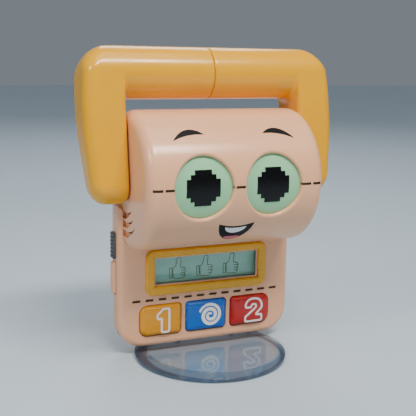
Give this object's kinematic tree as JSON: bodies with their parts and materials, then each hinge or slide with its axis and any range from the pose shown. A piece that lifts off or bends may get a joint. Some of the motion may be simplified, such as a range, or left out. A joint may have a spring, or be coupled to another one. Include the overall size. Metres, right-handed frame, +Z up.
{
  "type": "toy robot with carry handle",
  "caption": "Small battery toy robot: drum head with two round eye displays, swinging carry handle, flat body with framed display and push buttons, on a clear round stand.",
  "frame": {"origin": "on the underside of the stand, at the middle of the stand's depth, on the robot's middle plane", "axes": "+Z up, the face looks along -Y, +X to the right of someone looking at the face"},
  "size_m": [0.1042, 0.0612, 0.1217],
  "materials": {
    "cream_shell": "satin",
    "handle_yellow": "satin",
    "frame_yellow": "satin",
    "clear_pane": "polished",
    "display_green": "satin",
    "mint": "satin",
    "black_print": "matte",
    "button_amber": "satin",
    "button_blue": "satin",
    "button_red": "satin",
    "switch_grey": "matte",
    "rubber_grey": "matte",
    "board_green": "satin",
    "chip_black": "matte",
    "ribbon": "satin",
    "steel": "satin",
    "inner_black": "matte",
    "magnet": "satin",
    "inner_white": "satin",
    "clear_stand": "polished"
  },
  "bodies": {
    "stand": {"stand": "clear_stand"},
    "case": {"battery_cells": "steel", "battery_contacts": "steel", "battery_tray": "inner_black", "body_front_shell": "cream_shell", "button_switches": "rubber_grey", "case_screws": "steel", "controller_chip": "chip_black", "display_connectors": "rubber_grey", "display_frame": "frame_yellow", "display_glass": "display_green", "display_reflector": "display_green", "display_window": "clear_pane", "eye_board": "board_green", "eye_display_left": "mint", "eye_display_right": "mint", "eye_pupil_left": "black_print", "eye_pupil_right": "black_print", "friction_rings": "rubber_grey", "head_ribbon": "ribbon", "head_shell": "cream_shell", "main_board": "board_green", "power_switch": "switch_grey", "rear_shell": "cream_shell", "side_key_switch": "switch_grey", "speaker_cone": "inner_black", "speaker_frame": "inner_black", "speaker_magnet": "magnet"},
    "button_amber": {"button_amber": "button_amber"},
    "button_blue": {"button_blue": "button_blue"},
    "button_red": {"button_red": "button_red"},
    "power_slider": {"power_slider": "switch_grey"},
    "side_key": {"side_key": "cream_shell"},
    "battery_door": {"battery_door": "cream_shell", "door_screw": "steel"},
    "handle": {"handle_left_half": "handle_yellow", "handle_right_half": "handle_yellow", "handle_sleeve": "inner_white", "pivot_pins": "steel", "pivot_washers": "steel", "pivot_screws": "steel"}
  },
  "joints": [
    {"name": "case_lift", "type": "slide", "parent": "stand", "child": "case", "axis": [0, 0, 1], "range_m": [0, 0.006]},
    {"name": "handle_swing", "type": "hinge", "parent": "case", "child": "handle", "pos_m": [0, 0.0043, 0.0716], "axis": [1, 0, 0], "range_deg": [-80, 110]},
    {"name": "amber_press", "type": "slide", "parent": "case", "child": "button_amber", "axis": [0, 1, 0], "range_m": [0, 0.001], "stiffness_N_per_m": 1200, "springref_m": -0.0004},
    {"name": "blue_press", "type": "slide", "parent": "case", "child": "button_blue", "axis": [0, 1, 0], "range_m": [0, 0.001], "stiffness_N_per_m": 1200, "springref_m": -0.0004},
    {"name": "red_press", "type": "slide", "parent": "case", "child": "button_red", "axis": [0, 1, 0], "range_m": [0, 0.001], "stiffness_N_per_m": 1200, "springref_m": -0.0004},
    {"name": "power_slide", "type": "slide", "parent": "case", "child": "power_slider", "axis": [0, 0, 1], "range_m": [0, 0.003]},
    {"name": "side_key_press", "type": "slide", "parent": "case", "child": "side_key", "axis": [1, 0, 0], "range_m": [0, 0.0008], "stiffness_N_per_m": 1200, "springref_m": -0.0004},
    {"name": "door_lift", "type": "slide", "parent": "case", "child": "battery_door", "axis": [0, 1, 0], "range_m": [0, 0.012]}
  ]
}
